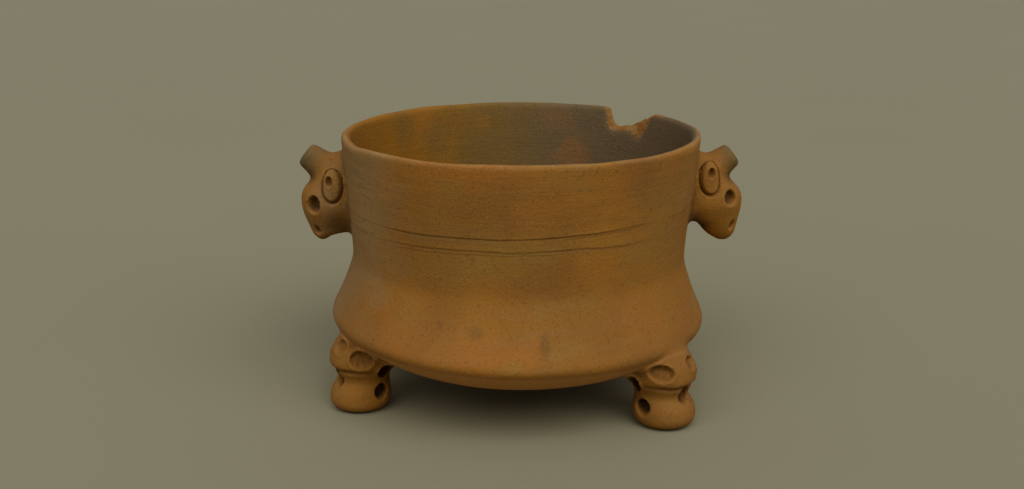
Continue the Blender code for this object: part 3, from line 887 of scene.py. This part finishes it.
co, normals = places(jar), ways(jar)
fine_shape = shape_of(jar)
# How much darker the colour is: along the scratched lines, and as painted shade in the brow creases and ear
# grooves
scratched = np.zeros(len(co))
on_wall = co[:, 0] * normals[:, 0] + co[:, 1] * normals[:, 1] > 0.0
on_wall &= np.abs(unlean(co)[0] - WALL_AT_LINES) < WALL_NEAR
band = np.nonzero(in_band(co) & on_wall)[0]
for line in LINES:
    _, depth, width = line
    up, strength = line_shape(co[band], line)
    # The stick pushed a low burr up along the line's upper side
    groove = bump(up, 0.0, width) - 0.35 * bump(up, 2.1 * width, width)
    co[band] -= normals[band] * (depth * strength * groove)[:, None]
    # The colour is darker along the line's groove
    line_darkening = bump(up, -0.2 * width, 1.5 * width) * min(depth / 0.0003, 1.0)
    scratched[band] = np.maximum(scratched[band], strength * line_darkening)
share = co[:, 2] / SHOULDER_HEIGHT
for angle, distance, turn in FEET:
    # The waves run round the face and fade towards the back
    from_axis = co - np.array(direction(angle) * (distance * SHOULDER_RADIUS - FOOT_SPLAY * BROW_SHARE))
    from_axis[:, 2] = 0.0
    away = np.linalg.norm(from_axis, axis=1)
    outward = from_axis / np.maximum(away, 1e-6)[:, None]
    facing_out = outward @ np.array(direction(angle + turn))
    close = away < CREASE_REACH
    strength = close * np.clip((facing_out + 0.10) / 0.85, 0.0, 1.0)
    for middle, depth, width, crease_shade in FOOT_CREASES:
        # Only the crease under the brow wanders
        wander = CREASE_WANDER * rough(co * close[:, None], CREASE_WAVE, 9.0) if crease_shade else 0.0
        crease = bump(share + wander, middle, width) * strength
        co -= outward * (depth * crease)[:, None]
        # The crease under the brow is darkened with painted shade
        scratched = np.maximum(scratched, crease_shade * crease)
grainy = np.nonzero(near_faces(co))[0]
sunk = np.array([soft_shape.find_nearest(Vector(point))[3] for point in co[grainy]])
grain = PIT_GRAIN * np.clip(sunk / PIT_GRAIN_FULL, 0.0, 1.0) * rough(co[grainy], PIT_GRAIN_SIZE, 6.0)
co[grainy] += normals[grainy] * grain[:, None]
for head in HEADS:
    for flank in (1.0, -1.0):
        facing = ear_facing(head, flank)
        matrix = mark_matrix(fine_shape, head, "ear", flank, EAR_RING, facing)
        same_side = co[:, 1] * matrix.translation.y > 0.0
        near, share, full = press(co, normals, matrix, ring_groove(-flank), EAR_REACH, same_side)
        # Painted shade in the groove round the ear
        groove = EAR_GROOVE_SHADE * bump(share, 1.0, EAR_RING_WIDTH) * full ** 2
        scratched[near] = np.maximum(scratched[near], groove)
        matrix = mark_matrix(fine_shape, head, "ear_pit", flank, EAR_PIT, facing)
        press(co, normals, matrix, hole(EAR_PIT_DEPTH, EAR_PIT_LIP, EAR_PIT_SHARP), HEAD_REACH)
put(jar, co)
print("lines, creases and ears marked")

# %% The rough break
BREAK_GRAIN, BREAK_ROUGH = 0.0022, 0.00045
BREAK_START, BREAK_FULL = 0.0004, 0.0010

co, normals = places(jar), ways(jar)
broken = np.zeros(len(co))
for index in np.nonzero(near_break(co))[0]:
    place, facing, _, gap = whole_wall.find_nearest(Vector(co[index]))
    if (Vector(co[index]) - place).dot(facing) < 0.0:
        broken[index] = min(max((gap - BREAK_START) / (BREAK_FULL - BREAK_START), 0.0), 1.0)
rubble = np.nonzero(broken > 0.0)[0]
grain = rough(co[rubble], BREAK_GRAIN, 2.0) + 0.8 * rough(co[rubble], 2.6 * BREAK_GRAIN, 4.0)
co[rubble] += normals[rubble] * (BREAK_ROUGH * broken[rubble] * grain)[:, None]
put(jar, co)
print("break:", len(rubble), "points roughened")

# %% Thin the skin
MOST_TRIANGLES = 190000


def keep(thing, name, values):
    """Keeps a number for each point of a piece, for its material to read."""
    layer = thing.data.attributes.new(name, "FLOAT", "POINT")
    layer.data.foreach_set("value", values.astype(np.float32))
    print(name, "on", int((values > 0.3).sum()), "points")


keep(jar, "scratched", scratched)
keep(jar, "broken", broken)
triangles = sum(len(face.vertices) - 2 for face in jar.data.polygons)
apply(jar, "DECIMATE", ratio=MOST_TRIANGLES / triangles)
jar.data.shade_smooth()
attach(jar, "root")
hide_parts("tripod_olla")
print("thinned from", triangles, "to", len(jar.data.polygons), "triangles")

# %% [markdown]
# ## Where dirt, painted shade and wear go
#
# Hollows are darkened, partly by dirt and partly as painted shade, and wear shows on edges, wherever the
# surface is seen from, so both are worked out from the shape and kept as attributes that the material reads.
# A surface smoothed many times moves out of its hollows and away from its edges: how far it moved tells
# them apart. How deep a point lies under the skin as it was before the pits were pressed says how dark the
# pits are painted, with dirt and with painted shade. Last, the wall and the inside of the jar are marked,
# because the hand wiped the one and the fire darkened the other.

# %% Hollows and edges
EASING_ROUNDS, BLUR_ROUNDS = 16, 3
HOLLOW_FROM, HOLLOW_FULL, EDGE_FROM, EDGE_FULL = 0.0001, 0.0007, 0.0006, 0.0014


def neighbour_mean(values, pairs, counts):
    """The mean of each point's neighbours."""
    total = np.zeros_like(values)
    for column in range(values.shape[1]):
        total[:, column] = (np.bincount(pairs[:, 0], values[pairs[:, 1], column], len(values))
                            + np.bincount(pairs[:, 1], values[pairs[:, 0], column], len(values)))
    return total / counts[:, None]


co, normals = places(jar), ways(jar)
pairs = np.empty(len(jar.data.edges) * 2, np.int32)
jar.data.edges.foreach_get("vertices", pairs)
pairs = pairs.reshape(-1, 2)
counts = np.maximum(np.bincount(pairs.ravel(), minlength=len(co)), 1).astype(float)
eased = co.copy()
for _ in range(EASING_ROUNDS):
    eased = neighbour_mean(eased, pairs, counts)
sunk = np.einsum("ij,ij->i", eased - co, normals)[:, None]
for _ in range(BLUR_ROUNDS):
    sunk = 0.5 * sunk + 0.5 * neighbour_mean(sunk, pairs, counts)
# The hollow mask darkens the colour: partly dirt, partly painted shade in the hollows
keep(jar, "hollow", smooth_step(sunk[:, 0], HOLLOW_FROM, HOLLOW_FULL))
edge = smooth_step(-sunk[:, 0], EDGE_FROM, EDGE_FULL)

# %% Pits, the wall and the inside
PIT_FROM, PIT_FULL = 0.0006, 0.0056
# How deep in the wall the inside begins, as shares of WALL
INSIDE_FROM, INSIDE_FULL = 0.38, 0.62
# The worn lip begins and is full this far below the rim
LIP_WORN_FROM, LIP_WORN_FULL, LIP_WEAR, LIMB_WEAR = 0.0024, 0.0004, 0.55, 0.35
# How far from the plain wall, and from the plain base, the skin stops counting as wall or base
WALL_SURE, WALL_OFF, BASE_SURE, BASE_OFF, UNDER_RISE = 0.0010, 0.0035, 0.0010, 0.0030, 0.006

radius, height = unlean(co)
# The pit mask darkens the pits by their depth: partly dirt, partly painted shade
pit = np.zeros(len(co))
limbs = (height < SHOULDER_HEIGHT) | ((radius > NECK_RADIUS + 0.001) & (height > NECK_HEIGHT))
for index in np.nonzero(limbs)[0]:
    point = Vector(co[index])
    spot, facing, _, gap = soft_shape.find_nearest(point)
    if (point - spot).dot(facing) < 0.0:
        pit[index] = min(max((gap - PIT_FROM) / (PIT_FULL - PIT_FROM), 0.0), 1.0) ** 2
keep(jar, "pit", pit)
wall_out = np.array([wall_radius(h) for h in np.clip(height, SHOULDER_HEIGHT, RIM_HEIGHT)])
base_low = base_height(np.minimum(radius, SHOULDER_RADIUS))
off_wall, off_base = np.abs(radius - wall_out), np.abs(height - base_low)
inside = smooth_step(wall_out - radius, INSIDE_FROM * WALL, INSIDE_FULL * WALL)
inside *= height > base_low + 0.5 * WALL
keep(jar, "inside", inside)
lip = smooth_step(height, RIM_HEIGHT - LIP_WORN_FROM, RIM_HEIGHT - LIP_WORN_FULL) * (off_wall < 2.0 * WALL)
keep(jar, "worn_edge", np.maximum(edge * np.where(limbs, LIMB_WEAR, 1.0), LIP_WEAR * lip) * (1.0 - inside))
on_wall = 1.0 - smooth_step(off_wall, WALL_SURE, WALL_OFF) * (1.0 - inside)
keep(jar, "wall", on_wall * (height > SHOULDER_HEIGHT - 0.002))
# The underside is marked for the material, which paints it lighter as painted bounce light
on_base = 1.0 - smooth_step(off_base, BASE_SURE, BASE_OFF)
keep(jar, "under", smooth_step(SHOULDER_HEIGHT - height, 0.0, UNDER_RISE) * on_base)

# %% [markdown]
# ## The clay
#
# The colour of old low-fired clay is never one colour. Over an orange-brown ground lie soft clouds:
# yellower and greyer where smoke or damp touched it, redder where the fire was clean, and a greyish film
# on the left painted paler as painted light. Over them come streaks from the wiping hand, grit and specks,
# darkening in hollows, pits and creases that is partly dirt and partly painted shade, painted shade under
# the heads, an underside painted lighter as bounce light, and pale wear on edges. Each of these
# effects is a small node group with named inputs and outputs, so the material itself reads like a recipe.
# An image would be quicker, but it would need a picture and seams; noise in the object's own space has no
# seams at all.

# %% Words for building nodes


def add(tree, kind, feeds=None, **settings):
    """Adds a node, sets its properties, and feeds its inputs with values or with other nodes' outputs."""
    new = tree.nodes.new(kind)
    for name, value in settings.items():
        setattr(new, name, value)
    for name, value in (feeds or {}).items():
        if isinstance(value, bpy.types.NodeSocket):
            tree.links.new(value, new.inputs[name])
        else:
            new.inputs[name].default_value = value
    return new


def maths(tree, operation, first, second=0.0):
    """One sum."""
    return add(tree, "ShaderNodeMath", {0: first, 1: second}, operation=operation).outputs[0]


def rise(tree, value, low, high):
    """0 where the value is low, 1 where it is high, and a soft rise between."""
    feeds = {"Value": value, "From Min": low, "From Max": high}
    return add(tree, "ShaderNodeMapRange", feeds, interpolation_type="SMOOTHSTEP").outputs["Result"]


def blend(tree, factor, first, second):
    """Lays the second colour over the first."""
    return add(tree, "ShaderNodeMix", {0: factor, 6: first, 7: second}, data_type="RGBA").outputs[2]


def cloud(tree, place, scale, detail=3.0, stretch=(1, 1, 1), shift=0.0):
    """Noise at each place, stretched differently along X, Y and Z."""
    feeds = {"Vector": place, "Location": (shift, 0.7 * shift, -1.3 * shift), "Scale": stretch}
    at = add(tree, "ShaderNodeMapping", feeds).outputs["Vector"]
    return add(tree, "ShaderNodeTexNoise", {"Vector": at, "Scale": scale, "Detail": detail}).outputs["Fac"]


def new_group(name, vectors, numbers, answers):
    """A node group with named inputs, places first and then numbers, and numbers as its outputs."""
    tree = bpy.data.node_groups.new(name, "ShaderNodeTree")
    for labels, way, kind in ((vectors, "INPUT", "NodeSocketVector"), (numbers, "INPUT", "NodeSocketFloat"),
                              (answers, "OUTPUT", "NodeSocketFloat")):
        for label in labels:
            tree.interface.new_socket(label, in_out=way, socket_type=kind)
    return tree, tree.nodes.new("NodeGroupInput").outputs, tree.nodes.new("NodeGroupOutput").inputs


# %% Soft patches, specks and wiping streaks
patch_group, given, out = new_group(
    "soft_patch", ("Place", "Centre", "Squeeze"), ("Radius", "Ragged"), ("Mask",))
away = given["Place"]
for operation, other in (("SUBTRACT", given["Centre"]), ("MULTIPLY", given["Squeeze"])):
    away = add(patch_group, "ShaderNodeVectorMath", {0: away, 1: other}, operation=operation).outputs[0]
far = add(patch_group, "ShaderNodeVectorMath", {0: away}, operation="LENGTH").outputs["Value"]
share = maths(patch_group, "DIVIDE", far, given["Radius"])
edge_noise = maths(patch_group, "SUBTRACT", cloud(patch_group, given["Place"], 70.0, 4.0), 0.5)
share = maths(patch_group, "ADD", share, maths(patch_group, "MULTIPLY", edge_noise, given["Ragged"]))
patch_group.links.new(maths(patch_group, "SUBTRACT", 1.0, rise(patch_group, share, 0.25, 1.0)), out["Mask"])

speck_group, given, out = new_group("grit_and_specks", ("Place",), (), ("Dark", "Fine", "Pale", "Height"))
grain = cloud(speck_group, given["Place"], 900.0)
coarse = cloud(speck_group, given["Place"], 420.0, 2.0, shift=0.4)
pale_grain = cloud(speck_group, given["Place"], 1000.0, shift=0.9)
for answer, source, low, high in (("Dark", coarse, 0.60, 0.74), ("Fine", grain, 0.56, 0.70),
                                  ("Pale", pale_grain, 0.58, 0.74)):
    speck_group.links.new(rise(speck_group, source, low, high), out[answer])
bumpy = maths(speck_group, "MULTIPLY", coarse, 0.8)
speck_group.links.new(maths(speck_group, "ADD", grain, bumpy), out["Height"])

streak_group, given, out = new_group("wiping_streaks", ("Place",), (), ("Mask", "Height"))
broad = cloud(streak_group, given["Place"], 260.0, 4.0, (0.12, 0.12, 1.0), 0.2)
fine = cloud(streak_group, given["Place"], 900.0, 2.0, (0.06, 0.06, 1.0))
streak_group.links.new(rise(streak_group, broad, 0.38, 0.66), out["Mask"])
fine = maths(streak_group, "MULTIPLY", fine, 0.5)
streak_group.links.new(maths(streak_group, "ADD", broad, fine), out["Height"])
print("node groups:", [group.name for group in bpy.data.node_groups])

# %% Colours of the clay
WARM, BROWN, OLIVE = (0.300, 0.134, 0.026, 1), (0.235, 0.108, 0.025, 1), (0.262, 0.148, 0.036, 1)
RED, FILM_AND_PAINTED_LIGHT, SMUDGE = (0.335, 0.124, 0.028, 1), (0.275, 0.172, 0.072, 1), (0.130, 0.078, 0.024, 1)
OCHRE, SMOKED, SOOT = (0.275, 0.124, 0.018, 1), (0.172, 0.104, 0.026, 1), (0.136, 0.098, 0.048, 1)
FRESH, DIRT_AND_SHADE, PALE = (0.270, 0.140, 0.048, 1), (0.080, 0.038, 0.013, 1), (0.430, 0.262, 0.100, 1)
SCORCHED, UNDERSIDE_BOUNCE_LIGHT = (0.110, 0.088, 0.036, 1), (0.500, 0.240, 0.085, 1)

# Where a cloud of colour lies: its colour, strength, middle, squeeze along X, Y and Z, and radius
OUTER_CLOUDS = (
    # The greyish film on the left is painted paler than it is, as painted light for the weaker light on that
    # side
    (FILM_AND_PAINTED_LIGHT, 0.85, (-0.088, -0.046, 0.118), (1, 1, 0.8), 0.058),
    (FILM_AND_PAINTED_LIGHT, 0.75, (-0.100, -0.020, 0.066), (1, 1, 1), 0.045),
    (OLIVE, 0.50, (0.078, -0.062, 0.112), (1, 1, 0.6), 0.034),
    (OLIVE, 0.55, (-0.030, -0.088, 0.101), (0.6, 1, 1.5), 0.034),
    (RED, 0.45, (-0.025, -0.099, 0.050), (0.7, 1, 1.4), 0.026),
    (RED, 0.32, (-0.060, -0.083, 0.055), (1, 1, 1.3), 0.024),
    (RED, 0.30, (0.004, -0.102, 0.054), (1, 1, 1.3), 0.014),
    (RED, 0.28, (0.061, -0.076, 0.066), (1, 1, 1.2), 0.026),
    (RED, 0.45, (-0.026, -0.094, 0.144), (0.5, 1, 2.0), 0.022),
    (RED, 0.45, (0.074, -0.064, 0.141), (1, 1, 1.4), 0.018),
    (BROWN, 0.45, (-0.094, -0.050, 0.056), (1, 1, 1.0), 0.030),
    (PALE, 0.16, (0.096, -0.030, 0.135), (1, 1, 0.7), 0.034),
    (BROWN, 0.55, (-0.047, -0.082, 0.113), (0.7, 1, 1.0), 0.034),
    (BROWN, 0.60, (0.041, -0.089, 0.060), (1, 1, 1.2), 0.022),
    (BROWN, 0.30, (0.070, -0.080, 0.036), (1, 1, 1), 0.022),
    (SMUDGE, 0.48, (0.0125, -0.0985, 0.0575), (2.4, 1, 0.8), 0.0085),
    (SMUDGE, 0.38, (-0.021, -0.094, 0.063), (1, 1, 1.2), 0.0065),
)
INNER_CLOUDS = (
    (SMOKED, 0.50, (-0.070, 0.060, 0.140), (1.4, 1.4, 0.7), 0.017),
    (SMOKED, 0.68, (-0.051, 0.075, 0.129), (1.3, 1.3, 0.9), 0.016),
    (RED, 0.30, (-0.057, 0.073, 0.141), (1.2, 1, 1.0), 0.011),
    (WARM, 0.35, (-0.022, 0.090, 0.138), (1, 1, 1), 0.009),
    (RED, 0.34, (0.033, 0.085, 0.117), (0.8, 1, 0.8), 0.014),
    (RED, 0.15, (0.024, 0.088, 0.139), (1, 1, 1), 0.014),
)

# %% The clay material
RAGGED = 1.1

clay = bpy.data.materials.new("fired_clay_worn")
clay.use_nodes = True
tree = clay.node_tree
shader = tree.nodes["Principled BSDF"]
place = tree.nodes.new("ShaderNodeTexCoord").outputs["Object"]
mark = {name: add(tree, "ShaderNodeAttribute", attribute_name=name).outputs["Fac"]
        for name in ("hollow", "worn_edge", "pit", "inside", "wall", "under", "scratched", "broken")}
specks = add(tree, "ShaderNodeGroup", {"Place": place}, node_tree=speck_group).outputs
streaks = add(tree, "ShaderNodeGroup", {"Place": place}, node_tree=streak_group).outputs
axes = add(tree, "ShaderNodeSeparateXYZ", {"Vector": place}).outputs


def both(first, second):
    """Where both masks are, or one mask at a strength."""
    return maths(tree, "MULTIPLY", first, second)


def patches(scale, low, high, **settings):
    """A mask of clouds all over the clay: none at the low noise value, full at the high one."""
    return rise(tree, cloud(tree, place, scale, 4.0, **settings), low, high)


def lay(colour, *layers):
    """Lays paints over a colour, each where its mask says and at its strength."""
    for paint, strength, mask in layers:
        colour = blend(tree, both(mask, strength), colour, paint)
    return colour


def lay_clouds(colour, clouds):
    """Lays soft patches of colour over a colour."""
    for paint, strength, centre, squeeze, radius in clouds:
        feeds = {"Place": place, "Centre": centre, "Squeeze": squeeze, "Radius": radius, "Ragged": RAGGED}
        patch = add(tree, "ShaderNodeGroup", feeds, node_tree=patch_group)
        colour = lay(colour, (paint, strength, patch.outputs["Mask"]))
    return colour


outer = blend(tree, patches(16.0, 0.38, 0.66), WARM, BROWN)
outer = lay(outer, (OLIVE, 0.65, patches(32.0, 0.50, 0.72, stretch=(1, 1, 1.5), shift=0.3)),
            (RED, 0.35, patches(26.0, 0.56, 0.74, stretch=(1, 1, 1.4), shift=0.9)))
wiped = both(rise(tree, axes["Z"], 0.050, 0.125), mark["wall"])
limb = both(rise(tree, axes["Z"], 0.058, 0.038), maths(tree, "SUBTRACT", 0.62, mark["wall"]))
outer = blend(tree, limb, lay_clouds(outer, OUTER_CLOUDS), BROWN)
# The underside is painted lighter, as painted light bounced up from the floor
outer = lay(outer, (UNDERSIDE_BOUNCE_LIGHT, 0.95, mark["under"]), (SMUDGE, 0.17, both(streaks["Mask"], wiped)))
print("outside: ground,", len(OUTER_CLOUDS), "clouds and streaks")

# %% The inside, the break, the dirt and the painted shade
uneven = both(cloud(tree, place, 34.0, 4.0, (1, 1, 0.7), 0.5), 0.050)
across = maths(tree, "ADD", axes["X"], uneven)
inner = blend(tree, rise(tree, across, -0.045, 0.010), OCHRE, SMOKED)
inner = blend(tree, rise(tree, across, 0.000, 0.058), inner, SOOT)
colour = blend(tree, mark["inside"], outer, lay_clouds(inner, INNER_CLOUDS))

crumbly = blend(tree, patches(160.0, 0.42, 0.62, shift=0.6), FRESH, BROWN)
patchy = patches(120.0, 0.30, 0.62, shift=0.8)
worn = both(mark["worn_edge"], maths(tree, "ADD", both(patchy, 0.6), 0.25))
# Dirt and painted shade darken the pits, the hollows and the grooves, and pale wear lightens the edges
colour = lay(colour, (crumbly, 0.92, mark["broken"]), (DIRT_AND_SHADE, 0.90, mark["pit"]),
             (DIRT_AND_SHADE, 0.75, both(mark["hollow"], patchy)), (DIRT_AND_SHADE, 0.42, mark["scratched"]), (PALE, 0.55, worn))

# The peg's root and its scorched tip, then painted shade in the notch below the peg and under the chin
for head in HEADS:
    colour = lay_clouds(colour, (
        (BROWN, 0.70, head_point(head, 0.42, 0.0, 0.88), (1, 0.8, 1), 0.026),
        (SCORCHED, 0.90, head_point(head, 0.49, 0.0, 0.85), (1, 0.8, 1), 0.0185),
        (DIRT_AND_SHADE, 0.60, head_point(head, 0.37, 0.0, 0.67), (1, 0.5, 1), 0.0070),
        (DIRT_AND_SHADE, 0.85, head_point(head, 0.07, 0.0, 0.22), (1, 0.42, 1), 0.0125),
    ))
colour = lay(colour, (DIRT_AND_SHADE, 0.30, specks["Dark"]), (DIRT_AND_SHADE, 0.26, specks["Fine"]),
             (PALE, 0.26, specks["Pale"]))
tree.links.new(colour, shader.inputs["Base Color"])

# %% Roughness and fine relief
ROUGHEST, SMOOTHEST = 0.95, 0.78
shine = both(streaks["Mask"], ROUGHEST - SMOOTHEST)
tree.links.new(maths(tree, "SUBTRACT", ROUGHEST, shine), shader.inputs["Roughness"])
shader.inputs["Specular IOR Level"].default_value = 0.30
relief = maths(tree, "ADD", specks["Height"], both(streaks["Height"], wiped))
bumped = add(tree, "ShaderNodeBump", {"Strength": 0.75, "Distance": 0.00028, "Height": relief})
tree.links.new(bumped.outputs["Normal"], shader.inputs["Normal"])
jar.data.materials.clear()
jar.data.materials.append(clay)
print("clay:", len(tree.nodes), "nodes")

# %% [markdown]
# ## Floor and light
#
# The jar stands on a plain pale sheet under a wide soft light from the front and above, with a little
# light from all round. The softness of a shadow's edge comes from the width of the light: a sun lamp that
# fills forty degrees of the sky gives the wide half shadow in front of the feet and an even floor,
# however far it runs. Three of them side by side wrap round the wall, as a long window would.

# %% Floor
FLOOR_SIZE, FLOOR_COLOUR = 16.0, (0.254, 0.243, 0.152, 1.0)

start_alone()
bpy.ops.mesh.primitive_plane_add(size=FLOOR_SIZE, location=(0, 0, 0))
floor = bpy.context.object
floor.name = "floor"
paper = bpy.data.materials.new("pale_paper")
paper.use_nodes = True
paper_tree = paper.node_tree
paper_shader = paper_tree.nodes["Principled BSDF"]
paper_place = paper_tree.nodes.new("ShaderNodeTexCoord").outputs["Object"]
fibre = rise(paper_tree, cloud(paper_tree, paper_place, 3.0, 2.0), 0.3, 0.7)
darker = tuple(0.98 * channel for channel in FLOOR_COLOUR[:3]) + (1.0,)
paper_tree.links.new(blend(paper_tree, fibre, FLOOR_COLOUR, darker), paper_shader.inputs["Base Color"])
paper_shader.inputs["Roughness"].default_value = 0.9
paper_shader.inputs["Specular IOR Level"].default_value = 0.2
floor.data.materials.append(paper)

# %% Light
SKY_COLOUR, SKY_STRENGTH = (1.0, 0.98, 0.94, 1.0), 0.33
LAMP_UP, LAMP_WIDTH = 46.0, 42.0
# Angle round the jar and strength of each lamp
LAMPS = ((-38.0, 0.60), (3.0, 0.74), (42.0, 0.98))

for around, strength in LAMPS:
    lamp_data = bpy.data.lights.new("wide_soft_light", "SUN")
    lamp_data.energy = strength
    lamp_data.angle = math.radians(LAMP_WIDTH)
    lamp = bpy.data.objects.new("wide_soft_light", lamp_data)
    up = math.radians(LAMP_UP)
    towards_jar = -(direction(around) * math.cos(up) + Vector((0, 0, math.sin(up))))
    lamp.rotation_euler = towards_jar.to_track_quat("-Z", "Y").to_euler()
    bpy.context.scene.collection.objects.link(lamp)
sky = bpy.data.worlds.new("even_sky")
sky.use_nodes = True
sky.node_tree.nodes["Background"].inputs["Color"].default_value = SKY_COLOUR
sky.node_tree.nodes["Background"].inputs["Strength"].default_value = SKY_STRENGTH
bpy.context.scene.world = sky
print(len(LAMPS), "lamps", LAMP_UP, "degrees up,", LAMP_WIDTH, "degrees wide")
